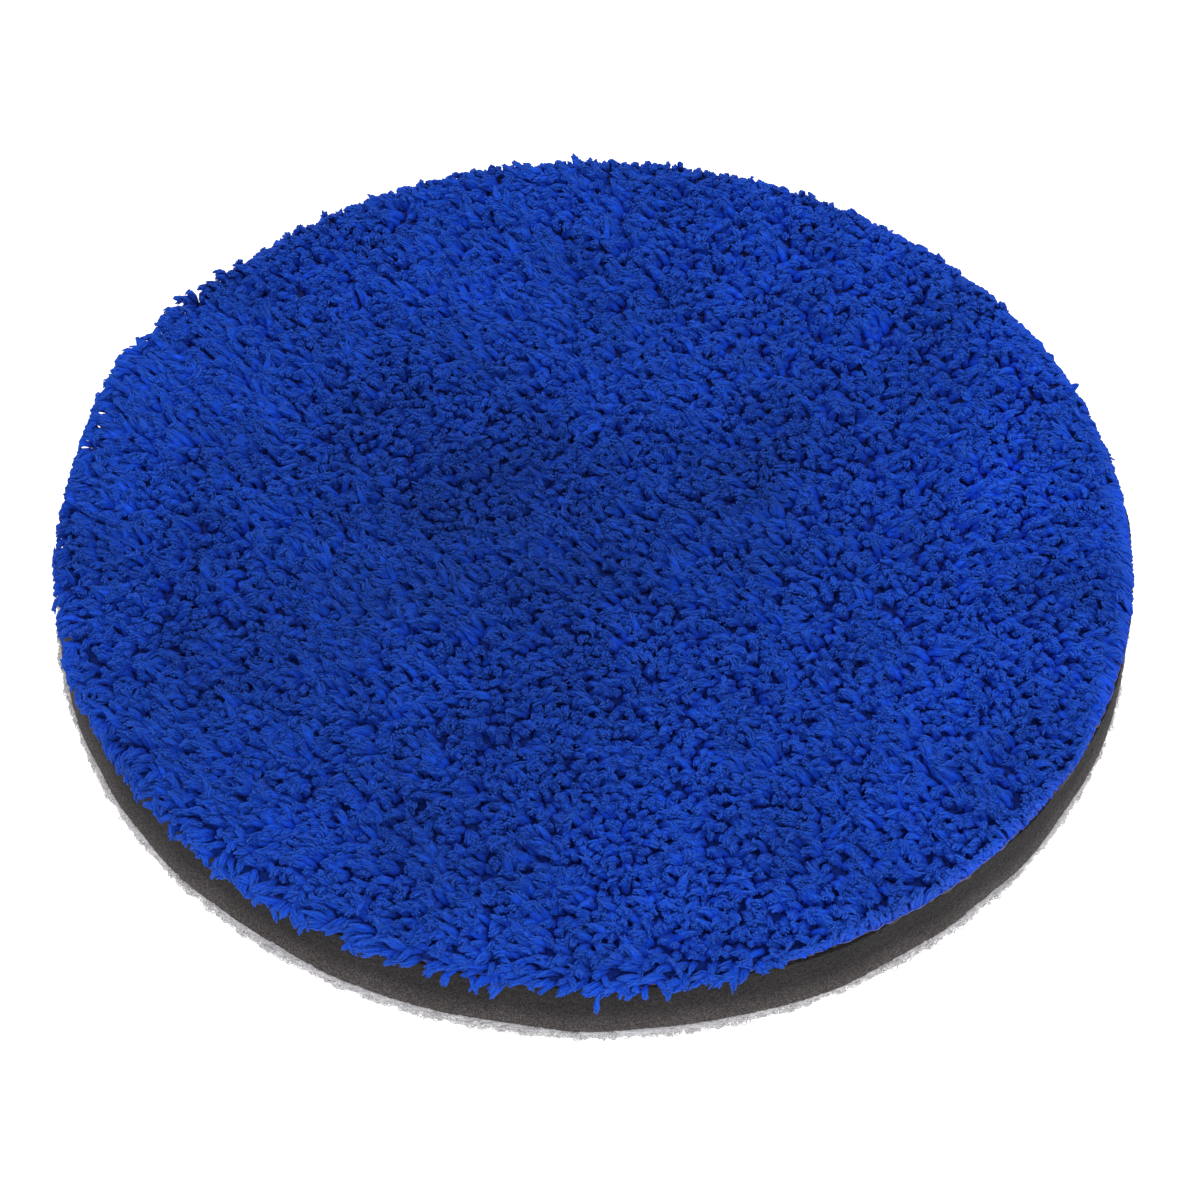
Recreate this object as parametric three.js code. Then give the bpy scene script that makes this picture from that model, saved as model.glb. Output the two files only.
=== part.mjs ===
// Microfibre polishing pad: a loop backing, a foam interlayer and a tufted microfibre face, bonded in a stack.
// Millimetres, +Z towards the working face, origin at the centre of the loop backing's underside.
import * as THREE from 'three';

// Driving dimensions
const PAD_DIAMETER = 150; // foam at its lower edge

const LOOP_PILE_HEIGHT = 1.0;
const LOOP_PILE_MARGIN = 0.4; // brushed loops fluff out past the cloth that they stand on
const LOOP_PILE_EDGE = 0.4; // chamfer of the loops' outer edge
const LOOP_KNIT_THICKNESS = 0.5;
const LOOP_KNIT_MARGIN = 0.1;
const BACKING_ADHESIVE_THICKNESS = 0.3;
const BACKING_ADHESIVE_INSET = 0.3;

const FOAM_THICKNESS = 8.0;
const FOAM_TOP_INSET = 0.8; // the cut wall leans in by this much at its upper edge
const FOAM_WAIST = 0.35; // the wall draws in by this much between its two bonded faces
const FOAM_WALL_STEPS = 6;

const FACE_ADHESIVE_THICKNESS = 0.3;
const FACE_ADHESIVE_INSET = 0.2;
const FACE_KNIT_THICKNESS = 0.7;
const FACE_KNIT_MARGIN = 0.2;
const PILE_HEIGHT = 4.5;
const PILE_OVERHANG = 1.2; // tufts splay out past the foam's upper edge
const PILE_UNDERCUT = 1.0; // height over which the outermost tufts spread from the knit
const PILE_SHOULDER = 2.6; // radius of the rounded upper edge
const SHOULDER_STEPS = 6;

const SEGMENTS = 96; // around the axis

// Radii that follow from them
const FOAM_BOTTOM_RADIUS = PAD_DIAMETER / 2;
const FOAM_TOP_RADIUS = FOAM_BOTTOM_RADIUS - FOAM_TOP_INSET;
const FACE_KNIT_RADIUS = FOAM_TOP_RADIUS + FACE_KNIT_MARGIN;
const PILE_RADIUS = FOAM_TOP_RADIUS + PILE_OVERHANG;

// Heights of the layers' lower faces, each resting on the layer before it
const LOOP_KNIT_Z = LOOP_PILE_HEIGHT;
const BACKING_ADHESIVE_Z = LOOP_KNIT_Z + LOOP_KNIT_THICKNESS;
const FOAM_Z = BACKING_ADHESIVE_Z + BACKING_ADHESIVE_THICKNESS;
const FACE_ADHESIVE_Z = FOAM_Z + FOAM_THICKNESS;
const FACE_KNIT_Z = FACE_ADHESIVE_Z + FACE_ADHESIVE_THICKNESS;
const PILE_Z = FACE_KNIT_Z + FACE_KNIT_THICKNESS;

function material(color, roughness) {
  return new THREE.MeshStandardMaterial({ color, roughness, metalness: 0 });
}

const loopCloth = material(0xbdbcc3, 0.95);
const adhesive = material(0x6b5f5c, 0.6);
const foam = material(0x3e3c41, 0.9);
const faceKnit = material(0x0f2a78, 0.9);
const microfibre = material(0x16358e, 0.95);

// A layer is its outer edge, listed upwards as [radius, height], turned about the axis.
function layer(name, edge, surface) {
  const bottom = edge[0][1];
  const top = edge[edge.length - 1][1];
  const outline = [[0, bottom], ...edge, [0, top]].map(([r, z]) => new THREE.Vector2(r, z));
  const geometry = new THREE.LatheGeometry(outline, SEGMENTS);
  geometry.rotateX(Math.PI / 2);
  const mesh = new THREE.Mesh(geometry, surface);
  mesh.name = name;
  return mesh;
}

function straightEdge(radius, z, thickness) {
  return [[radius, z], [radius, z + thickness]];
}

function loopPile() {
  const radius = FOAM_BOTTOM_RADIUS + LOOP_PILE_MARGIN;
  const edge = [
    [radius - LOOP_PILE_EDGE, 0],
    [radius, LOOP_PILE_EDGE],
    [radius, LOOP_PILE_HEIGHT],
  ];
  return layer('loop_pile', edge, loopCloth);
}

function loopGroundKnit() {
  const edge = straightEdge(FOAM_BOTTOM_RADIUS + LOOP_KNIT_MARGIN, LOOP_KNIT_Z, LOOP_KNIT_THICKNESS);
  return layer('loop_ground_knit', edge, loopCloth);
}

function backingAdhesive() {
  const radius = FOAM_BOTTOM_RADIUS - BACKING_ADHESIVE_INSET;
  return layer('backing_adhesive', straightEdge(radius, BACKING_ADHESIVE_Z, BACKING_ADHESIVE_THICKNESS), adhesive);
}

// The die-cut wall leans in towards the face and bows in slightly between the bonded faces.
function foamInterlayer() {
  const edge = [];
  for (let i = 0; i <= FOAM_WALL_STEPS; i += 1) {
    const t = i / FOAM_WALL_STEPS;
    const lean = FOAM_TOP_INSET * t;
    const waist = FOAM_WAIST * Math.sin(Math.PI * t);
    edge.push([FOAM_BOTTOM_RADIUS - lean - waist, FOAM_Z + FOAM_THICKNESS * t]);
  }
  return layer('foam_interlayer', edge, foam);
}

function faceAdhesive() {
  const radius = FOAM_TOP_RADIUS - FACE_ADHESIVE_INSET;
  return layer('face_adhesive', straightEdge(radius, FACE_ADHESIVE_Z, FACE_ADHESIVE_THICKNESS), adhesive);
}

function faceGroundKnit() {
  return layer('face_ground_knit', straightEdge(FACE_KNIT_RADIUS, FACE_KNIT_Z, FACE_KNIT_THICKNESS), faceKnit);
}

// The tufts' outer shape: they spread out from the knit, and round over to a flat working face.
function microfibrePile() {
  const edge = [[FACE_KNIT_RADIUS, PILE_Z], [PILE_RADIUS, PILE_Z + PILE_UNDERCUT]];
  const centreRadius = PILE_RADIUS - PILE_SHOULDER;
  const centreZ = PILE_Z + PILE_HEIGHT - PILE_SHOULDER;
  for (let i = 0; i <= SHOULDER_STEPS; i += 1) {
    const angle = (i / SHOULDER_STEPS) * (Math.PI / 2);
    edge.push([centreRadius + PILE_SHOULDER * Math.cos(angle), centreZ + PILE_SHOULDER * Math.sin(angle)]);
  }
  return layer('microfibre_pile', edge, microfibre);
}

const polishingPad = new THREE.Group();
polishingPad.add(loopPile(), loopGroundKnit(), backingAdhesive(), foamInterlayer());
polishingPad.add(faceAdhesive(), faceGroundKnit(), microfibrePile());

export default polishingPad;
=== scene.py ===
import math

import bpy
import numpy as np
from mathutils import Matrix, Vector, kdtree


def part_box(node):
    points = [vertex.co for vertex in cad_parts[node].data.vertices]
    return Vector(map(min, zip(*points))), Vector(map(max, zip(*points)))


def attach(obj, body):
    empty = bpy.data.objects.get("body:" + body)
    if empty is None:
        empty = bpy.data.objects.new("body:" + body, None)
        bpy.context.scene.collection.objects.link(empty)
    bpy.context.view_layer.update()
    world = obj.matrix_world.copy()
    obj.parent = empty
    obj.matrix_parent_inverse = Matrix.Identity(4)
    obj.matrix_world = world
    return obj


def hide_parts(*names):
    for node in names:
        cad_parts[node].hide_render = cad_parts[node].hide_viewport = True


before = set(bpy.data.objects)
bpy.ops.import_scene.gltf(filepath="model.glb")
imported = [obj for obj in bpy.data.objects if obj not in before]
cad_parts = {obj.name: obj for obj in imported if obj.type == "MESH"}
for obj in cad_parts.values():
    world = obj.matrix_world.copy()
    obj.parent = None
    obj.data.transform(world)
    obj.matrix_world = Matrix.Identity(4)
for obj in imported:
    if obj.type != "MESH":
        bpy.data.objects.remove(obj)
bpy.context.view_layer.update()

MM = 0.001
PER_MM = 1 / MM          # a texture scale of one feature to the millimetre
SEED = 4631

# ---------------------------------------------------------------- places and sizes, from the frame


def heights(node):
    low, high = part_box(node)
    return low.z, high.z


def radius_of(node):
    low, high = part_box(node)
    return (high.x - low.x) / 2


FLOOR = heights("loop_pile")[0]
LOOP_KNIT_BOTTOM, LOOP_KNIT_TOP = heights("loop_ground_knit")
BACK_GLUE_BOTTOM, BACK_GLUE_TOP = heights("backing_adhesive")
FOAM_BOTTOM, FOAM_TOP = heights("foam_interlayer")
FACE_GLUE_BOTTOM, FACE_GLUE_TOP = heights("face_adhesive")
FACE_KNIT_BOTTOM, FACE_KNIT_TOP = heights("face_ground_knit")
PILE_BOTTOM, PILE_TOP = heights("microfibre_pile")
FOAM_RADIUS = radius_of("foam_interlayer")
FACE_KNIT_RADIUS = radius_of("face_ground_knit")

# The cutting die left the foam's lower edge, and the backing with it, off the upper edge's centre
LEAN = np.array([-0.8, -0.3]) * MM
BACKING_SHIFT = LEAN + np.array([-0.12, -0.10]) * MM

DISC_SEGMENTS = 1440     # round a cloth or a coat of adhesive


# ---------------------------------------------------------------- smooth noise and random places

NOISE_WAVES = 28


def rng_for(offset):
    return np.random.default_rng(SEED + offset)


class SmoothNoise:
    """A sum of plane waves: smooth, repeatable and about 0, with features of the given sizes."""

    def __init__(self, offset, shortest, longest):
        rng = rng_for(offset)
        length = np.exp(rng.uniform(math.log(shortest), math.log(longest), NOISE_WAVES))
        heading = rng.uniform(0, 2 * math.pi, NOISE_WAVES)
        self.k = 2 * math.pi / length
        self.cos, self.sin = np.cos(heading), np.sin(heading)
        self.phase = rng.uniform(0, 2 * math.pi, NOISE_WAVES)
        self.gain = math.sqrt(2 / NOISE_WAVES)

    def __call__(self, x, y):
        along = np.multiply.outer(x, self.k * self.cos) + np.multiply.outer(y, self.k * self.sin)
        return self.gain * np.sin(along + self.phase).sum(-1)


def ring_noise(offset, count, waves):
    """Noise around a circle, about 0, with the given numbers of waves round it."""
    rng = rng_for(offset)
    angle = np.linspace(0, 2 * math.pi, count, endpoint=False)
    total = np.zeros(count)
    for n in waves:
        total += rng.normal() * np.sin(n * angle + rng.uniform(0, 2 * math.pi)) / n**0.5
    return total / total.std()


def scattered(rng, radius, spacing):
    """Points about a spacing apart over a disc: a triangular grid, each point moved at random."""
    jitter = 0.42
    rows = np.arange(-radius, radius + spacing, spacing * math.sqrt(3) / 2)
    points = []
    for i, y in enumerate(rows):
        x = np.arange(-radius, radius + spacing, spacing) + (i % 2) * spacing / 2
        points.append(np.stack([x, np.full(len(x), y)], -1))
    points = np.concatenate(points)
    points += rng.uniform(-jitter, jitter, points.shape) * spacing
    return points[np.hypot(points[:, 0], points[:, 1]) < radius]


# ---------------------------------------------------------------- meshes


def build_mesh(name, co, polygons, material):
    """A mesh object from arrays: polygons is a list of index arrays, each (faces, corners)."""
    mesh = bpy.data.meshes.new(name)
    mesh.vertices.add(len(co))
    mesh.vertices.foreach_set("co", np.ascontiguousarray(co, np.float32).ravel())
    totals = np.concatenate([np.full(len(p), p.shape[1]) for p in polygons])
    corners = np.concatenate([p.ravel() for p in polygons])
    mesh.loops.add(len(corners))
    mesh.loops.foreach_set("vertex_index", corners.astype(np.int32))
    mesh.polygons.add(len(totals))
    starts = np.concatenate([[0], np.cumsum(totals)[:-1]])
    mesh.polygons.foreach_set("loop_start", starts.astype(np.int32))
    mesh.polygons.foreach_set("use_smooth", np.full(len(totals), True))
    mesh.update(calc_edges=True)
    mesh.materials.append(material)
    piece = bpy.data.objects.new(name, mesh)
    bpy.context.scene.collection.objects.link(piece)
    return piece


def claim(piece, node):
    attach(piece, "root")
    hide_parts(node)
    return piece


def add_uv(mesh, name, uv):
    layer = mesh.uv_layers.new(name=name)
    layer.uv.foreach_set("vector", np.ascontiguousarray(uv, np.float32).ravel())


def add_values(mesh, name, values):
    layer = mesh.attributes.new(name, "FLOAT", "POINT")
    layer.data.foreach_set("value", np.ascontiguousarray(values, np.float32).ravel())


def wall_quads(rings, sides):
    """The quads of a tube, from the numbers of its rings and of the points in each."""
    ring, side = np.meshgrid(np.arange(rings - 1), np.arange(sides), indexing="ij")
    ring, side = ring.ravel(), side.ravel()
    after = (side + 1) % sides
    low, high = ring * sides, (ring + 1) * sides
    quads = np.stack([low + side, low + after, high + after, high + side], -1)
    return quads, ring, side


def end_fans(rings, sides):
    """The triangles that close a tube's two ends, whose middle points follow its rings."""
    s = np.arange(sides)
    after = (s + 1) % sides
    last = (rings - 1) * sides
    start = np.stack([np.full(sides, rings * sides), after, s], -1)
    end = np.stack([np.full(sides, rings * sides + 1), last + s, last + after], -1)
    return np.concatenate([start, end])


def strand_corners(rings, sides, ring, side):
    """How far round a strand, in sides, and at which ring each corner of its quads and fans lies."""
    s = np.arange(sides)
    around = [
        np.stack([side, side + 1, side + 1, side], -1),
        np.stack([s + 0.5, s + 1, s], -1),
        np.stack([s + 0.5, s, s + 1], -1),
    ]
    level = [
        np.stack([ring, ring, ring + 1, ring + 1], -1),
        np.tile([-1, 0, 0], (sides, 1)),
        np.tile([rings, rings - 1, rings - 1], (sides, 1)),
    ]
    return np.concatenate([a.ravel() for a in around]), np.concatenate([n.ravel() for n in level])


def strand_piece(name, rings, start, end, along, tone, material):
    """A piece of many closed strands. rings is (strand, ring, side, xyz), start and end are its end points,
    along is each ring's share of the length, and tone a random number for each strand.
    """
    count, ring_count, sides, _ = rings.shape
    each = ring_count * sides + 2
    co = np.concatenate([rings.reshape(count, -1, 3), start[:, None], end[:, None]], 1).reshape(-1, 3)
    quads, ring, side = wall_quads(ring_count, sides)
    fans = end_fans(ring_count, sides)
    base = (np.arange(count) * each)[:, None, None]
    polygons = [(quads[None] + base).reshape(-1, 4), (fans[None] + base).reshape(-1, 3)]
    piece = build_mesh(name, co, polygons, material)
    around, corner_ring = strand_corners(ring_count, sides, ring, side)
    levels = np.concatenate([along, [1.0, 0.0]])            # ring_count is the end, and -1 the start
    local = np.stack([around / sides, levels[corner_ring]], -1)[None]
    add_strand_uvs(piece.data, local, quads.size, tone)
    add_values(piece.data, "along", np.tile(np.concatenate([np.repeat(along, sides), [0.0, 1.0]]), count))
    add_values(piece.data, "tone", np.repeat(tone, each))
    return piece


def add_strand_uvs(mesh, local, quad_corners, tone):
    """OFBake gives each strand a cell of its own, and Strand a place of its own in the streaks' noise."""
    count = len(tone)
    cells = math.ceil(math.sqrt(count))
    cell = np.stack([np.arange(count) % cells, np.arange(count) // cells], -1)[:, None]
    shift = np.stack([tone, 7.3 * tone], -1)[:, None] * 40
    parts = [local[:, :quad_corners], local[:, quad_corners:]]
    add_uv(mesh, "OFBake", joined([(cell + 0.08 + 0.84 * part) / cells for part in parts]))
    add_uv(mesh, "Strand", joined([part + shift for part in parts]))


def joined(parts):
    return np.concatenate([part.reshape(-1, 2) for part in parts])


def turned_piece(name, edge, material, ripple, centre=(0, 0), segments=DISC_SEGMENTS):
    """A closed round layer: edge is [radius, height] upwards, ripple adds to each point's radius, and centre
    is one place for the whole layer or one for each point of its edge.
    """
    edge = np.array(edge, float)
    centre = np.broadcast_to(np.array(centre, float), (len(edge), 2))
    angle = np.linspace(0, 2 * math.pi, segments, endpoint=False)
    radius = np.repeat(edge[:, :1], segments, 1) + ripple
    x = centre[:, :1] + radius * np.cos(angle)
    y = centre[:, 1:] + radius * np.sin(angle)
    z = np.repeat(edge[:, 1:], segments, 1)
    wall = np.stack([x, y, z], -1).reshape(-1, 3)
    ends = np.array([[*centre[0], edge[0, 1]], [*centre[-1], edge[-1, 1]]])
    quads = wall_quads(len(edge), segments)[0]
    return build_mesh(name, np.concatenate([wall, ends]), [quads, end_fans(len(edge), segments)], material)


# ---------------------------------------------------------------- materials


class Nodes:
    """A node material, with short calls for the nodes that the pad's materials use."""

    def __init__(self, name, roughness, **principled):
        self.material = bpy.data.materials.new(name)
        self.material.use_nodes = True
        self.tree = self.material.node_tree
        self.tree.nodes.clear()
        out = self.tree.nodes.new("ShaderNodeOutputMaterial")
        self.shader = self.tree.nodes.new("ShaderNodeBsdfPrincipled")
        self.shader.inputs["Roughness"].default_value = roughness
        for socket, value in principled.items():
            self.shader.inputs[socket.replace("_", " ")].default_value = value
        self.link(self.shader.outputs["BSDF"], out.inputs["Surface"])

    def link(self, a, b):
        self.tree.links.new(a, b)

    def coordinates(self, scale=(1, 1, 1), uv=None):
        """The place on the object, or on one of its UV layers."""
        if uv:
            source = self.tree.nodes.new("ShaderNodeUVMap")
            source.uv_map = uv
            out = source.outputs["UV"]
        else:
            out = self.tree.nodes.new("ShaderNodeTexCoord").outputs["Object"]
        mapping = self.tree.nodes.new("ShaderNodeMapping")
        mapping.inputs["Scale"].default_value = scale
        self.link(out, mapping.inputs["Vector"])
        return mapping.outputs["Vector"]

    def noise(self, vector, scale, detail=3.0, roughness=0.55):
        node = self.tree.nodes.new("ShaderNodeTexNoise")
        node.inputs["Scale"].default_value = scale
        node.inputs["Detail"].default_value = detail
        node.inputs["Roughness"].default_value = roughness
        self.link(vector, node.inputs["Vector"])
        return node.outputs["Fac"]

    def voronoi(self, vector, scale, randomness=1.0):
        node = self.tree.nodes.new("ShaderNodeTexVoronoi")
        node.inputs["Scale"].default_value = scale
        node.inputs["Randomness"].default_value = randomness
        self.link(vector, node.inputs["Vector"])
        return node.outputs["Distance"]

    def distance(self, centre):
        node = self.tree.nodes.new("ShaderNodeVectorMath")
        node.operation = "DISTANCE"
        node.inputs[1].default_value = centre
        self.link(self.coordinates(), node.inputs[0])
        return node.outputs["Value"]

    def height(self):
        node = self.tree.nodes.new("ShaderNodeSeparateXYZ")
        self.link(self.coordinates(), node.inputs["Vector"])
        return node.outputs["Z"]

    def value(self, name):
        """A number that the mesh holds for each of its points."""
        node = self.tree.nodes.new("ShaderNodeAttribute")
        node.attribute_name = name
        return node.outputs["Fac"]

    def ramp(self, source, stops):
        node = self.tree.nodes.new("ShaderNodeValToRGB")
        elements = node.color_ramp.elements
        while len(elements) < len(stops):
            elements.new(0.5)
        for element, (place, colour) in zip(elements, stops):
            element.position = place
            element.color = (*colour, 1.0)
        self.link(source, node.inputs["Fac"])
        return node.outputs["Color"]

    def grey(self, source, low, high, at=(0.0, 1.0)):
        return self.ramp(source, [(at[0], (low,) * 3), (at[1], (high,) * 3)])

    def mix(self, mode, a, b):
        node = self.tree.nodes.new("ShaderNodeMix")
        node.data_type = "RGBA"
        node.blend_type = mode
        node.inputs["Factor"].default_value = 1.0
        self.link(a, node.inputs[6])
        self.link(b, node.inputs[7])
        return node.outputs[2]

    def times(self, first, *others):
        for other in others:
            first = self.mix("MULTIPLY", first, other)
        return first

    def math(self, operation, a, b):
        node = self.tree.nodes.new("ShaderNodeMath")
        node.operation = operation
        for socket, value in zip(node.inputs, (a, b)):
            if isinstance(value, (int, float)):
                socket.default_value = value
            else:
                self.link(value, socket)
        return node.outputs["Value"]

    def bump(self, height, distance, strength):
        node = self.tree.nodes.new("ShaderNodeBump")
        node.inputs["Strength"].default_value = strength
        node.inputs["Distance"].default_value = distance
        self.link(height, node.inputs["Height"])
        self.link(node.outputs["Normal"], self.shader.inputs["Normal"])

    def colour(self, source):
        self.link(source, self.shader.inputs["Base Color"])
        return self.material


# Painted light and shade where the nap was brushed: x, y, brightness inside and outside, and the distances
# between which it changes
NAP_LIGHT_AND_SHADE = [
    (-0.013, -0.006, 0.76, 1.20, (0.028, 0.100)),
    (0.062, 0.014, 1.14, 1.0, (0.020, 0.036)),
    (-0.055, 0.022, 0.90, 1.0, (0.016, 0.030)),
]

# Painted shade on the outermost tufts' roots: they would catch the light where the rest are hidden, so they
# are painted darker
RIM_ROOT_SHADE_CENTRE = (0.0, 0.0, 0.012)
RIM_ROOT_SHADE_REACH = (0.0735, 0.0746)


def microfibre_material():
    """Royal-blue split fibre: streaks along each strand, uneven grain, and painted light and shade: lighter
    roots, paler tips, glints and patches of brushed nap.
    """
    m = Nodes("microfibre", 0.85, Sheen_Weight=0.05, Sheen_Roughness=0.5, Sheen_Tint=(0.35, 0.5, 1.0, 1.0),
              Specular_IOR_Level=0.08)
    streaks = m.noise(m.coordinates((3.0, 3.2, 1.0), "Strand"), 1.0, 4.0, 0.7)
    grain = m.noise(m.coordinates(), 4.2 * PER_MM, 2.0, 0.6)
    patches = m.noise(m.coordinates(), 0.06 * PER_MM, 2.0)
    broad = m.noise(m.coordinates(), 0.02 * PER_MM, 1.0)
    # Painted light: the roots are lighter than the tips, standing in for light scattered down into the
    # shaded gaps between tufts, and the tips are a little paler and less blue, a painted highlight
    base = m.ramp(m.value("along"), [
        (0.0, (0.0027, 0.062, 0.650)),
        (0.45, (0.0030, 0.057, 0.510)),
        (0.8, (0.0040, 0.053, 0.400)),
        (1.0, (0.0074, 0.056, 0.368)),
    ])
    shade = m.times(
        m.grey(streaks, 0.84, 1.16, (0.3, 0.72)),
        m.grey(grain, 0.88, 1.12, (0.3, 0.72)),
        m.grey(patches, 0.86, 1.14, (0.32, 0.68)),
    )
    # Painted light and shade in patches where the nap was brushed a different way
    for x, y, inside, outside, reach in NAP_LIGHT_AND_SHADE:
        away = m.math("ADD", m.distance((x, y, 0.0)), m.math("MULTIPLY", broad, 0.55 * reach[1]))
        shade = m.times(shade, m.grey(away, inside, outside, reach))
    # Painted shade on the roots of the outermost tufts
    at_rim = m.grey(m.distance(RIM_ROOT_SHADE_CENTRE), 0.0, 1.0, RIM_ROOT_SHADE_REACH)
    rim_root_shade = m.math("MULTIPLY", at_rim, m.grey(m.value("along"), 1.0, 0.0, (0.05, 0.60)))
    shade = m.times(shade, m.grey(m.value("tone"), 0.91, 1.09), m.grey(rim_root_shade, 1.0, 0.50))
    # Painted glints: pale speckles added to the colour as painted highlights
    painted_glint = m.noise(m.coordinates(), 8.0 * PER_MM, 1.0)
    painted_glint = m.ramp(painted_glint, [(0.56, (0.0, 0.0, 0.0)), (0.72, (0.050, 0.052, 0.060))])
    m.bump(m.math("ADD", streaks, grain), 0.08 * MM, 0.5)
    return m.colour(m.mix("ADD", m.times(base, shade), painted_glint))


def knit_material(name, dark, light, stitch):
    """A warp knit: rows of small stitches across the cloth, with uneven yarn and painted shade between the
    stitches.
    """
    m = Nodes(name, 0.9, Sheen_Weight=0.25, Sheen_Roughness=0.5, Specular_IOR_Level=0.15)
    stitches = m.voronoi(m.coordinates((1.0, 1.6, 1.0)), PER_MM / stitch, 0.35)
    yarn = m.noise(m.coordinates(), 3.0 * PER_MM)
    # Darker between the stitches, which is painted shade in the gaps, and uneven with the yarn
    mixed = m.math("ADD", m.math("MULTIPLY", stitches, 0.7), m.math("MULTIPLY", yarn, 0.5))
    m.bump(stitches, -0.12 * MM, 0.9)
    return m.colour(m.ramp(mixed, [(0.15, light), (0.75, dark)]))


def foam_material():
    """Dark grey open-celled foam, fine and coarse pores; painted shade in the pores and the top, a paler
    lower edge.
    """
    m = Nodes("foam", 0.95, Sheen_Weight=0.03, Sheen_Roughness=0.6, Specular_IOR_Level=0.05)
    fine = m.voronoi(m.coordinates(), 4.2 * PER_MM)
    coarse = m.voronoi(m.coordinates(), 1.3 * PER_MM)
    dust = m.noise(m.coordinates(), 7.0 * PER_MM, 3.0, 0.7)
    broad = m.noise(m.coordinates((1, 1, 0.6)), 0.12 * PER_MM, 2.0)
    # The pores are painted darker than the walls between them: painted shade in their hollows
    cells = m.ramp(fine, [
        (0.08, (0.0115, 0.0106, 0.0108)),
        (0.4, (0.0245, 0.0226, 0.0233)),
        (0.75, (0.045, 0.0425, 0.0435)),
    ])
    # Paler at the lower edge, and darker towards the top, which is painted shade under the overhanging pile
    above = m.math("SUBTRACT", m.height(), FOAM_BOTTOM)
    shade_by_height = m.ramp(m.math("ADD", above, m.math("MULTIPLY", dust, 0.9 * MM)), [
        (0.0, (2.2, 2.05, 2.0)),
        (0.0009, (1.1, 1.05, 1.05)),
        (0.0022, (0.82, 0.80, 0.80)),
        (0.0082, (0.52, 0.51, 0.51)),
    ])
    shade = m.times(
        # Painted shade in the coarse pores as well
        m.grey(coarse, 0.68, 1.08, (0.05, 0.4)),
        m.grey(dust, 0.5, 1.5, (0.3, 0.7)),
        m.grey(broad, 0.88, 1.12, (0.3, 0.7)),
        shade_by_height,
    )
    m.bump(m.math("ADD", fine, m.math("MULTIPLY", coarse, 0.8)), 0.10 * MM, 0.8)
    return m.colour(m.times(cells, shade))


def adhesive_material():
    """A thin coat of brown-grey laminating adhesive that has soaked unevenly into what it bonds."""
    m = Nodes("adhesive", 0.55, Specular_IOR_Level=0.3)
    soaked = m.noise(m.coordinates(), 0.8 * PER_MM, 4.0, 0.6)
    m.bump(soaked, 0.1 * MM, 0.8)
    return m.colour(m.ramp(soaked, [
        (0.3, (0.030, 0.022, 0.024)),
        (0.55, (0.075, 0.055, 0.060)),
        (0.8, (0.14, 0.11, 0.12)),
    ]))


def loop_material():
    """Brushed pale-grey filament loops, each a slightly different shade."""
    m = Nodes("loop_cloth", 0.8, Sheen_Weight=0.3, Sheen_Roughness=0.4, Specular_IOR_Level=0.3)
    streaks = m.noise(m.coordinates((3.0, 6.0, 1.0), "Strand"), 1.0, 2.0)
    body = m.ramp(m.value("tone"), [(0.0, (0.51, 0.495, 0.51)), (1.0, (0.66, 0.645, 0.66))])
    return m.colour(m.times(body, m.grey(streaks, 0.85, 1.1, (0.3, 0.7))))


def floor_material():
    """A nearly white studio ground that glows a little, so that it stays as pale as the photo's."""
    white = (1.0, 1.0, 1.0, 1.0)
    m = Nodes("studio_floor", 0.75, Specular_IOR_Level=0.1, Emission_Color=white, Emission_Strength=0.55)
    return m.colour(m.grey(m.noise(m.coordinates(), 3.0, 2.0), 0.9, 0.93))


# ---------------------------------------------------------------- the microfibre face

TUFT_SPACING = 1.19 * MM
RIM_SPACING = 0.80 * MM
TUFT_RADIUS = 0.50 * MM
TUFT_LENGTH = 4.3 * MM
STRANDS_IN_A_TUFT = 7
STRAND_RINGS, STRAND_SIDES = 4, 3
CORE_RINGS, CORE_SIDES = 4, 5
STRAND_PIECES, CORE_PIECES = 15, 4
PATH_LEVELS = np.linspace(0.0, 1.25, 16)     # shares of a tuft's length where its centreline is worked out
TIP = 12                 # the level at a tuft's full length
CLUMP_SPACING = 2.5 * MM

# Places round the rim, in degrees from +X
STRAY_TUFTS = [242.0, 257.5, 262.0, 271.0, 284.0]     # where a few tufts hang over the foam
FREE_RIM = (214, 7, 0.24)                             # middle, sharpness and offset, for side_of_rim
FAR_RIM = (58, 5, 0.10)
NEAR_RIM = 258                                        # where tufts reach furthest over the edge
LEFT_BULGES = [(197, 13, 1.0), (157, 11, 1.4)]        # middle, width and how far each reaches, in mm


def nap_heading(x, y):
    """Which way the nap lies, in radians: towards -X and -Y on the left, turning to -Y on the right."""
    swirl = SmoothNoise(11, 26 * MM, 80 * MM)(x, y)
    ruffle = SmoothNoise(12, 6 * MM, 16 * MM)(x, y)
    return np.radians(243 + 20 * x / FOAM_RADIUS + 13 * swirl + 17 * ruffle)


def side_of_rim(angle, middle, sharpness, offset):
    """1 round one side of the rim, falling smoothly to 0 round the other."""
    return 0.5 + 0.5 * np.tanh(sharpness * (np.cos(angle - math.radians(middle)) - offset))


def near_angles(angle, degrees, width):
    """1 at each of the given places round the rim, falling to 0 within about the width, in degrees."""
    turn = np.degrees(angle)[..., None] - np.array(degrees)
    turn = (turn + 180) % 360 - 180
    return np.exp(-((turn / width) ** 2)).max(-1)


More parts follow.
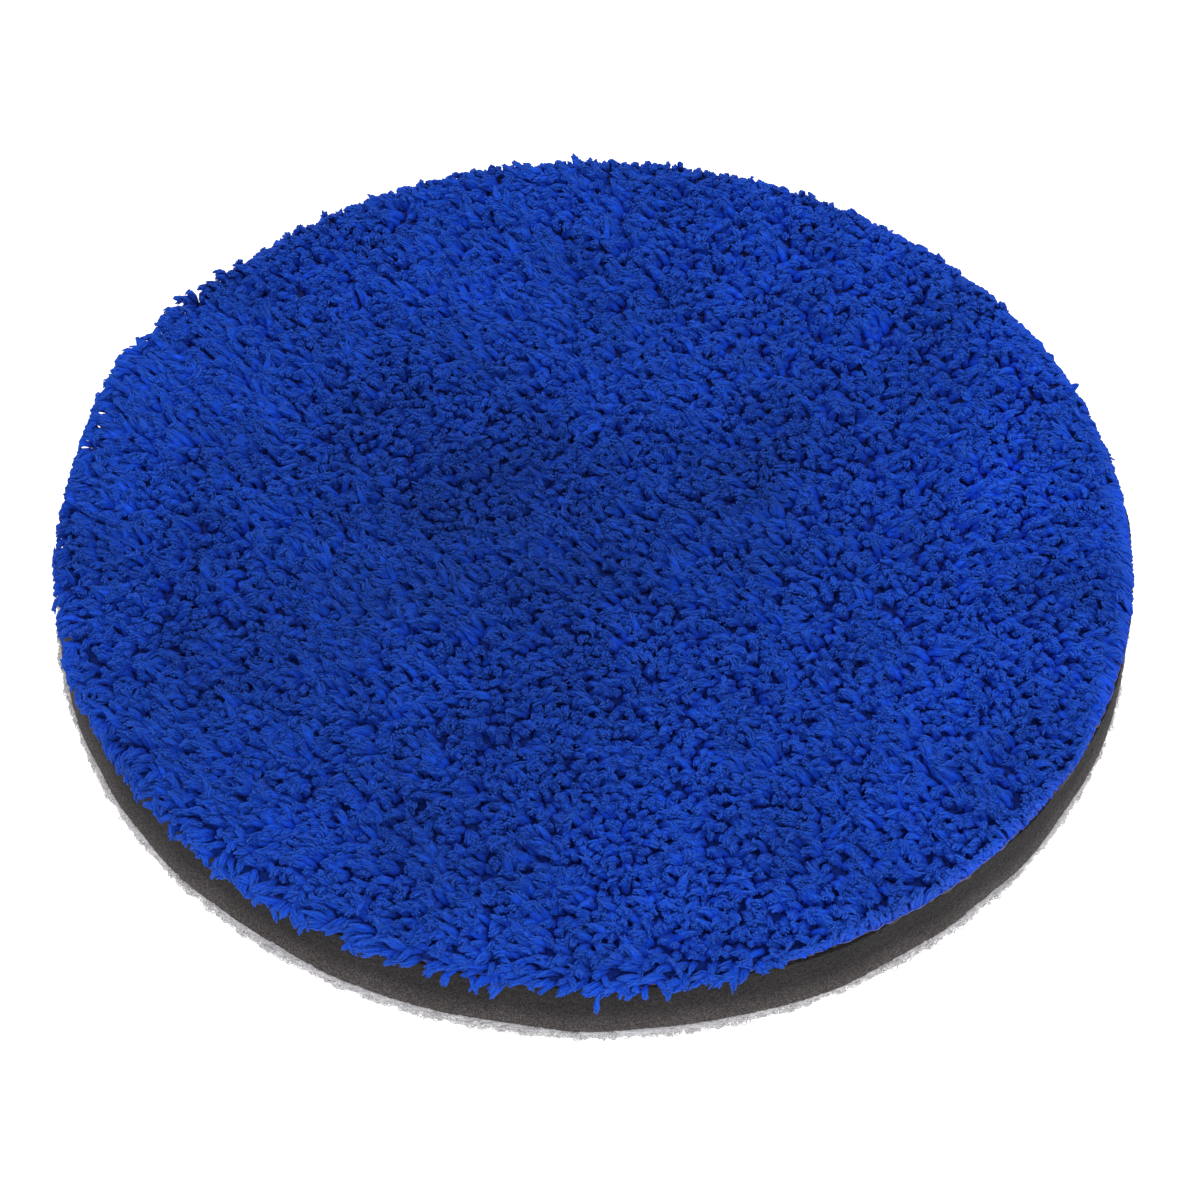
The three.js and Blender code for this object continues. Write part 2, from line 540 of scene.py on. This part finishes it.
def rim_reach(angle):
    """How far out a tuft's middle may lie: further where the nap runs off the rim, with an uneven trim."""
    x, y = FOAM_RADIUS * np.cos(angle), FOAM_RADIUS * np.sin(angle)
    uneven = 0.24 * np.tanh(SmoothNoise(14, 3 * MM, 20 * MM)(x, y))
    near = np.clip(np.cos(angle - math.radians(NEAR_RIM)), 0, 1) ** 3
    left = sum(size * near_angles(angle, [middle], width) for middle, width, size in LEFT_BULGES)
    free = side_of_rim(angle, *FREE_RIM)
    return FACE_KNIT_RADIUS + (-0.35 + free * (0.8 + 1.4 * near + left) + (0.3 + 0.7 * free) * uneven) * MM


def tuft_roots(rng):
    """Where the tufts stand: all over the knit, with a closer row along its cut edge."""
    edge = FACE_KNIT_RADIUS - 0.25 * MM
    inside = scattered(rng, edge - 0.35 * MM, TUFT_SPACING)
    count = int(2 * math.pi * edge / RIM_SPACING)
    angle = (np.arange(count) + rng.uniform(-0.3, 0.3, count)) * 2 * math.pi / count
    radius = edge - rng.uniform(0, 0.3 * MM, count)
    root = np.concatenate([inside, np.stack([radius * np.cos(angle), radius * np.sin(angle)], -1)])
    return root[np.argsort(root[:, 1], kind="stable")]


class Tufts:
    """Bent centrelines that rise from the knit, lie over with the nap, and gather into clumps at their tips.

    Round the left and near rim the nap runs off the edge, and the tufts droop over it. Round the far and
    right rim they are held: they lie low, towards the middle.
    """

    def __init__(self, rng):
        root = tuft_roots(rng)
        x, y = root[:, 0], root[:, 1]
        self.count = len(root)
        heading = nap_heading(x, y) + rng.normal(0, 0.6, self.count)
        angle = np.arctan2(y, x)
        self.at_rim = np.clip((np.hypot(x, y) / FACE_KNIT_RADIUS - 0.95) / 0.04, 0, 1)
        free = side_of_rim(angle, *FREE_RIM)
        held = self.at_rim * (1 - free) * side_of_rim(angle, *FAR_RIM)
        some = rng.random(self.count) < 0.6
        stray = near_angles(angle, STRAY_TUFTS, 0.8) * (self.at_rim > 0.9) * some
        heading = np.arctan2(
            (1 - held) * np.sin(heading) - 1.2 * held * np.sin(angle),
            (1 - held) * np.cos(heading) - 1.2 * held * np.cos(angle),
        )
        over = np.clip(np.cos(heading - angle), 0, 1) * self.at_rim * free + 0.45 * stray
        length = self.lengths(rng, x, y) * (1 - 0.22 * held + 0.5 * stray)
        self.bend = self.bends(rng, held, over)
        self.ahead = np.stack([np.cos(heading), np.sin(heading), np.zeros(self.count)], -1)
        self.side = np.stack([self.ahead[:, 1], -self.ahead[:, 0], np.zeros(self.count)], -1)
        self.centre = self.paths(rng, root, length)
        self.gather(rng)

    def lengths(self, rng, x, y):
        uneven = 0.10 * rng.normal(size=self.count)
        length = TUFT_LENGTH * (1 + uneven + 0.06 * SmoothNoise(13, 9 * MM, 30 * MM)(x, y))
        return np.clip(length, 0.75 * TUFT_LENGTH, 1.25 * TUFT_LENGTH)

    def bends(self, rng, held, over):
        """The angle from upright at each level, in radians."""
        first = np.radians(rng.uniform(5, 34, self.count) + 12 * held + 34 * over)
        last = np.radians(56 + 16 * rng.normal(size=self.count) + 10 * held + 80 * over)
        return first[:, None] + (last - first)[:, None] * np.clip(PATH_LEVELS, 0, 1.05) ** 1.1

    def paths(self, rng, root, length):
        """The centrelines, trimmed where they reach past the rim."""
        step = np.diff(PATH_LEVELS, prepend=0.0) * length[:, None]
        middle = np.concatenate([self.bend[:, :1], (self.bend[:, 1:] + self.bend[:, :-1]) / 2], 1)
        forward = np.cumsum(np.sin(middle) * step, 1)
        rise = np.cumsum(np.cos(middle) * step, 1)
        wander = rng.normal(0, 0.35 * MM, self.count)[:, None] * PATH_LEVELS**2
        centre = forward[..., None] * self.ahead[:, None] + wander[..., None] * self.side[:, None]
        centre[..., :2] += root[:, None]
        centre[..., 2] += rise + PILE_BOTTOM - 0.15 * MM
        radius = np.hypot(centre[..., 0], centre[..., 1])
        limit = rim_reach(np.arctan2(centre[..., 1], centre[..., 0]))
        trimmed = np.where(radius > limit, limit + 0.15 * (radius - limit), radius)
        centre[..., :2] *= (trimmed / radius)[..., None]
        return centre

    def gather(self, rng):
        """Neighbouring tips lean together into clumps, which leaves darker gaps between them."""
        seeds = scattered(rng, FOAM_RADIUS + 3 * MM, CLUMP_SPACING)
        tree = kdtree.KDTree(len(seeds))
        for i, seed in enumerate(seeds):
            tree.insert((*seed, 0), i)
        tree.balance()
        tip = self.centre[:, TIP]
        clump = np.array([tree.find((*point[:2], 0))[1] for point in tip])
        size = np.maximum(np.bincount(clump, minlength=len(seeds)), 1)
        pull = rng.uniform(0.0, 0.42, len(seeds))[clump]
        lift = rng.normal(0, 0.28 * MM, len(seeds))[clump]
        for axis in (0, 1):
            mean = np.bincount(clump, tip[:, axis], len(seeds)) / size
            self.centre[..., axis] += (pull * (mean[clump] - tip[:, axis]))[:, None] * PATH_LEVELS**2
        self.centre[..., 2] += lift[:, None] * PATH_LEVELS**1.5

    def at(self, which, level):
        """Centre, side and underside of the tufts named in which, at levels of shape (which, rings)."""
        place = np.clip(level / PATH_LEVELS[1], 0, len(PATH_LEVELS) - 1.001)
        low = place.astype(int)
        share = place - low
        row = which[:, None]
        centre = self.centre[row, low] * (1 - share)[..., None]
        centre = centre + self.centre[row, low + 1] * share[..., None]
        bend = self.bend[row, low] * (1 - share) + self.bend[row, low + 1] * share
        side = np.broadcast_to(self.side[which][:, None], (*bend.shape, 3))
        under = np.cos(bend)[..., None] * self.ahead[which][:, None]
        under = under - np.sin(bend)[..., None] * np.array([0, 0, 1.0])
        return centre, side, under


def across(radius, side, under, sides, turn, flat=1.0):
    """Rings of points about a centreline, as offsets, from radii of shape (strand, ring, side)."""
    angle = np.linspace(0, 2 * math.pi, sides, endpoint=False) + turn[:, None, None]
    wide = side[:, :, None] * (np.cos(angle) * flat)[..., None]
    deep = under[:, :, None] * (np.sin(angle) / flat)[..., None]
    return radius[..., None] * (wide + deep)


def tuft_strands(rng, tufts):
    """The strands of split fibre that each tuft opens into: they twist about it, kink and spread."""
    which = np.repeat(np.arange(tufts.count), STRANDS_IN_A_TUFT)
    count = len(which)
    at_rim = tufts.at_rim[which]
    out = np.sqrt(rng.uniform(0.0, 1, count))                    # from the tuft's middle to its outside
    start = rng.uniform(0.25, 0.50, count) * (1 - 0.85 * at_rim)
    end = 1.10 - 0.20 * out**2 + rng.normal(0, 0.05, count)
    share = np.array([0.0, 0.34, 0.68, 0.93, 1.0])
    level = start[:, None] + (end - start)[:, None] * share
    centre, side, under = tufts.at(which, level)
    spread = TUFT_RADIUS * out[:, None] * np.array([0.75, 0.98, 1.08, 0.98, 0.90])
    spread = spread * (1 - 0.30 * at_rim[:, None] * share)
    phase = rng.uniform(0, 2 * math.pi, count)[:, None]
    twist = rng.uniform(-1.2, 1.2, tufts.count)[which] + rng.normal(0, 1.2, count)
    spin = twist[:, None] * (level - 0.5) * 2
    path = centre + (spread * np.cos(phase + spin))[..., None] * side
    path = path + (spread * np.sin(phase + spin))[..., None] * under
    kink = rng.normal(0, 0.08 * MM, (count, STRAND_RINGS + 1, 3)) * (0.5 + 0.6 * share)[:, None]
    path = path + kink
    path[..., 2] = np.minimum(path[..., 2], PILE_TOP - 0.1 * MM)
    body = np.array([0.65, 1.05, 1.12, 0.78])
    size = (rng.uniform(0.160, 0.270, count) * MM)[:, None, None]
    radius = size * body[:, None] * (1 + 0.16 * rng.normal(size=(count, STRAND_RINGS, STRAND_SIDES)))
    turn = rng.uniform(0, 2 * math.pi, count)
    rings = path[:, :-1, None] + across(radius, side[:, :-1], under[:, :-1], STRAND_SIDES, turn)
    return rings, path[:, 0], path[:, -1], share[:-1] * 0.72 + 0.28


def tuft_cores(rng, tufts):
    """The closely packed lower part of each tuft, which its strands grow out of."""
    share = np.array([0.0, 0.3, 0.6, 0.84, 0.94])
    level = np.broadcast_to(share, (tufts.count, len(share)))
    centre, side, under = tufts.at(np.arange(tufts.count), level)
    body = np.array([1.20, 1.32, 1.12, 0.70])
    uneven = 1 + 0.16 * rng.normal(size=(tufts.count, CORE_RINGS, CORE_SIDES))
    radius = TUFT_RADIUS * body[:, None] * uneven
    radius *= (1 - 0.50 * tufts.at_rim)[:, None, None]
    turn = rng.uniform(0, 2 * math.pi, tufts.count)
    rings = centre[:, :-1, None] + across(radius, side[:, :-1], under[:, :-1], CORE_SIDES, turn, 1.08)
    return rings, centre[:, 0], centre[:, -1], share[:-1] * 0.8


def add_pile_pieces(name, strands, tone, pieces, material):
    rings, start, end, along = strands
    made = []
    for i, rows in enumerate(np.array_split(np.arange(len(rings)), pieces)):
        label = f"{name}_{i + 1:02d}"
        piece = strand_piece(label, rings[rows], start[rows], end[rows], along, tone[rows], material)
        made.append(claim(piece, "microfibre_pile"))
    return made


def add_microfibre_pile(material):
    rng = rng_for(1)
    tufts = Tufts(rng)
    tone = rng.random(tufts.count)
    each = np.repeat(tone, STRANDS_IN_A_TUFT)
    each = 0.5 * each + 0.5 * rng.random(len(each))
    made = add_pile_pieces("microfibre_strands", tuft_strands(rng, tufts), each, STRAND_PIECES, material)
    return made + add_pile_pieces("microfibre_cores", tuft_cores(rng, tufts), tone, CORE_PIECES, material)


def cut_edge(noise, fine, fine_waves, coarse, coarse_waves):
    """How a die-cut cloth's or coat's edge wanders: short and long waves of the given sizes, in metres."""
    short = fine * ring_noise(noise, DISC_SEGMENTS, fine_waves)
    return short + coarse * ring_noise(noise + 1, DISC_SEGMENTS, coarse_waves)


def add_face_knit(material):
    ripple = cut_edge(21, 0.10 * MM, range(60, 240, 7), 0.10 * MM, range(2, 14))
    r = FACE_KNIT_RADIUS - 0.35 * MM
    edge = [
        [r - 0.15 * MM, FACE_KNIT_BOTTOM],
        [r, FACE_KNIT_BOTTOM + 0.2 * MM],
        [r, FACE_KNIT_TOP - 0.15 * MM],
        [r - 0.2 * MM, FACE_KNIT_TOP],
    ]
    piece = claim(turned_piece("face_knit_cloth", edge, material, ripple), "face_ground_knit")


# ---------------------------------------------------------------- foam and adhesive

FOAM_SEGMENTS = 1500
FOAM_ROWS = 27
FOAM_TOP_INSET = 0.8 * MM
FOAM_WAIST = 0.35 * MM


def add_foam(material):
    """The die-cut disc: its wall leans in a little, draws in between the bonded faces and is open-celled."""
    rng = rng_for(31)
    t = np.linspace(0, 1, FOAM_ROWS)
    radius = FOAM_RADIUS - FOAM_TOP_INSET * t - FOAM_WAIST * np.sin(math.pi * t)
    edge = np.stack([radius, FOAM_BOTTOM + (FOAM_TOP - FOAM_BOTTOM) * t], -1)
    cells = rng.random((FOAM_ROWS, FOAM_SEGMENTS))
    soft = (cells + np.roll(cells, 1, 1) + np.roll(cells, 1, 0)) / 3
    pits = -0.17 * MM * np.clip((soft - 0.55) / 0.35, 0, 1) ** 1.5
    wavy = 0.16 * MM * ring_noise(32, FOAM_SEGMENTS, range(3, 40))
    ripple = pits + wavy + 0.03 * MM * rng.normal(size=cells.shape)
    centre = LEAN * (1 - t)[:, None]
    piece = turned_piece("foam_core", edge, material, ripple, centre, FOAM_SEGMENTS)
    claim(piece, "foam_interlayer")


def add_adhesive(name, node, low, high, radius, centre, material, noise):
    ripple = cut_edge(noise, 0.16 * MM, range(40, 300, 9), 0.1 * MM, range(3, 30))
    edge = [[radius - 0.1 * MM, low], [radius, (low + high) / 2], [radius - 0.1 * MM, high]]
    claim(turned_piece(name, edge, material, ripple, centre), node)


# ---------------------------------------------------------------- the loop backing

LOOP_LEVELS = np.linspace(0.0, 1.0, 6)
LOOP_SIDES = 3
FIELD_SPACING = 1.25 * MM
RIM_LOOPS = 7500


def unit(vector):
    return vector / np.linalg.norm(vector, axis=-1)[..., None]


def loop_strands(rng, foot, heading, width, height, thickness, tilt):
    """Small arches of filament: each leaves the ground at its foot, bows out and comes back."""
    count = len(foot)
    turn = math.pi * LOOP_LEVELS * 1.12 - 0.06 * math.pi
    side = np.stack([np.cos(heading), np.sin(heading), np.zeros(count)], -1)
    out = np.stack([np.sin(tilt) * -np.sin(heading), np.sin(tilt) * np.cos(heading), -np.cos(tilt)], -1)
    swing = -np.cos(turn)
    bow = np.sin(turn)
    centre = foot[:, None] + (width / 2)[:, None, None] * swing[:, None] * side[:, None]
    centre = centre + height[:, None, None] * bow[:, None] * out[:, None]
    centre += rng.normal(0, 0.05 * MM, centre.shape)
    tangent = unit(np.gradient(centre, axis=1))
    normal = unit(np.cross(np.cross(side, out)[:, None], tangent))
    binormal = np.cross(tangent, normal)
    angle = np.linspace(0, 2 * math.pi, LOOP_SIDES, endpoint=False)
    ring = normal[:, :, None] * np.cos(angle)[:, None] + binormal[:, :, None] * np.sin(angle)[:, None]
    rings = centre[:, :, None] + thickness[:, None, None, None] * ring
    for points in (rings, centre):
        points[..., 2] = np.maximum(points[..., 2], FLOOR)
    return rings, centre[:, 0], centre[:, -1]


def add_loop_pieces(name, loops, order, pieces, tone, material):
    rings, start, end = loops
    made = []
    for i, rows in enumerate(np.array_split(order, pieces)):
        label = f"{name}_{i + 1:02d}"
        piece = strand_piece(label, rings[rows], start[rows], end[rows], LOOP_LEVELS, tone[rows], material)
        made.append(claim(piece, "loop_pile"))
    return made


def add_underside_loops(material):
    """The field of loops that a hook plate grips."""
    rng = rng_for(41)
    spot = scattered(rng, FOAM_RADIUS - 0.4 * MM, FIELD_SPACING)
    count = len(spot)
    foot = np.concatenate([spot + BACKING_SHIFT, np.full((count, 1), LOOP_KNIT_BOTTOM + 0.05 * MM)], 1)
    heading = SmoothNoise(42, 12 * MM, 50 * MM)(spot[:, 0], spot[:, 1]) * 0.8 + rng.normal(0, 0.6, count)
    width = rng.uniform(0.8, 1.7, count) * MM
    height = rng.uniform(0.75, 1.15, count) * MM
    thickness = rng.uniform(0.055, 0.085, count) * MM
    tilt = rng.uniform(-0.9, 0.9, count)
    loops = loop_strands(rng, foot, heading, width, height, thickness, tilt)
    return add_loop_pieces("backing_loops", loops, np.arange(count), 4, rng.random(count), material)


def add_rim_loops(material):
    """Loose loops round the cut edge of the backing, in uneven bunches."""
    rng = rng_for(43)
    around = rng.uniform(0, 2 * math.pi, RIM_LOOPS)
    bunching = SmoothNoise(44, 1.5 * MM, 7 * MM)(FOAM_RADIUS * np.cos(around), FOAM_RADIUS * np.sin(around))
    bunch = 0.5 + 0.5 * np.tanh(bunching)
    radius = FOAM_RADIUS - 0.30 * MM + (0.15 + 0.35 * bunch) * MM * rng.random(RIM_LOOPS)
    z = FLOOR + (LOOP_KNIT_TOP + 0.1 * MM - FLOOR) * rng.random(RIM_LOOPS) ** 0.8
    x = BACKING_SHIFT[0] + radius * np.cos(around)
    y = BACKING_SHIFT[1] + radius * np.sin(around)
    heading = around + math.pi / 2 + rng.normal(0, 0.7, RIM_LOOPS)
    width = rng.uniform(0.3, 1.0, RIM_LOOPS) * MM
    height = rng.uniform(0.15, 0.55, RIM_LOOPS) * MM * (0.6 + 0.6 * bunch)
    thickness = rng.uniform(0.04, 0.085, RIM_LOOPS) * MM
    tilt = -rng.uniform(0.2, 1.9, RIM_LOOPS)
    loops = loop_strands(rng, np.stack([x, y, z], -1), heading, width, height, thickness, tilt)
    order = np.argsort(around, kind="stable")
    return add_loop_pieces("backing_rim_loops", loops, order, 3, rng.random(RIM_LOOPS), material)


def add_loop_knit(material):
    ripple = cut_edge(51, 0.14 * MM, range(50, 260, 7), 0.12 * MM, range(3, 24))
    r = FOAM_RADIUS - 0.05 * MM
    edge = [
        [r - 0.25 * MM, FLOOR + 0.45 * MM],
        [r, LOOP_KNIT_BOTTOM],
        [r + 0.05 * MM, LOOP_KNIT_TOP - 0.1 * MM],
        [r - 0.15 * MM, LOOP_KNIT_TOP],
    ]
    piece = turned_piece("backing_knit_cloth", edge, material, ripple, BACKING_SHIFT)
    claim(piece, "loop_ground_knit")


# ---------------------------------------------------------------- stage, light and camera

FLOOR_HALF_WIDTH = 6.0
WORLD_STRENGTH = 0.75
CAMERA_ELEVATION = math.radians(50.8)
CAMERA_ROLL = math.radians(1.2)
CAMERA_DISTANCE = 0.600
CAMERA_AIM = (0.00014, -0.00175, 0.0)
CAMERA_LENS = 127.6      # millimetres, on a sensor 36 wide


def add_floor():
    s = FLOOR_HALF_WIDTH
    mesh = bpy.data.meshes.new("studio_floor")
    mesh.from_pydata([(-s, -s, 0), (s, -s, 0), (s, s, 0), (-s, s, 0)], [], [(0, 1, 2, 3)])
    mesh.materials.append(floor_material())
    floor = bpy.data.objects.new("studio_floor", mesh)
    floor.location.z = FLOOR
    bpy.context.scene.collection.objects.link(floor)


def add_light(name, place, size, power):
    data = bpy.data.lights.new(name, "AREA")
    data.shape = "DISK"
    data.size = size
    data.energy = power
    light = bpy.data.objects.new(name, data)
    light.location = place
    light.rotation_euler = (-Vector(place)).to_track_quat("-Z", "Y").to_euler()
    bpy.context.scene.collection.objects.link(light)


def add_world():
    world = bpy.data.worlds.new("studio")
    bpy.context.scene.world = world
    world.use_nodes = True
    background = world.node_tree.nodes["Background"]
    background.inputs["Color"].default_value = (1.0, 1.0, 1.0, 1.0)
    background.inputs["Strength"].default_value = WORLD_STRENGTH


def add_camera():
    """The photo's view, from the near side and above."""
    data = bpy.data.cameras.new("camera")
    data.lens = CAMERA_LENS
    data.sensor_width = 36.0
    data.clip_start = 0.01
    camera = bpy.data.objects.new("camera", data)
    away = Vector((0, -math.cos(CAMERA_ELEVATION), math.sin(CAMERA_ELEVATION)))
    turn = away.to_track_quat("Z", "Y").to_matrix() @ Matrix.Rotation(CAMERA_ROLL, 3, "Z")
    place = Vector(CAMERA_AIM) + away * CAMERA_DISTANCE
    camera.matrix_world = Matrix.LocRotScale(place, turn.to_quaternion(), None)
    bpy.context.scene.collection.objects.link(camera)
    bpy.context.scene.camera = camera


# ---------------------------------------------------------------- the pad

add_camera()
add_world()
add_light("key", place=(-0.35, 0.25, 1.2), size=1.1, power=3.8)
add_light("fill", place=(0.15, -0.75, 1.05), size=1.0, power=9.4)
bpy.context.scene.view_settings.view_transform = "Standard"
add_floor()

adhesive = adhesive_material()
add_foam(foam_material())
pile = add_microfibre_pile(microfibre_material())
add_face_knit(knit_material("face_knit", (0.002, 0.018, 0.180), (0.007, 0.050, 0.420), 0.8))
add_adhesive("face_adhesive_coat", "face_adhesive", FACE_GLUE_BOTTOM, FACE_GLUE_TOP,
             FACE_KNIT_RADIUS - 0.45 * MM, (0, 0), adhesive, 61)
add_adhesive("backing_adhesive_coat", "backing_adhesive", BACK_GLUE_BOTTOM, BACK_GLUE_TOP,
             FOAM_RADIUS - 0.8 * MM, LEAN, adhesive, 63)
loop_cloth = loop_material()
backing = add_underside_loops(loop_cloth) + add_rim_loops(loop_cloth)
add_loop_knit(knit_material("backing_knit", (0.42, 0.41, 0.43), (0.62, 0.61, 0.63), 0.7))
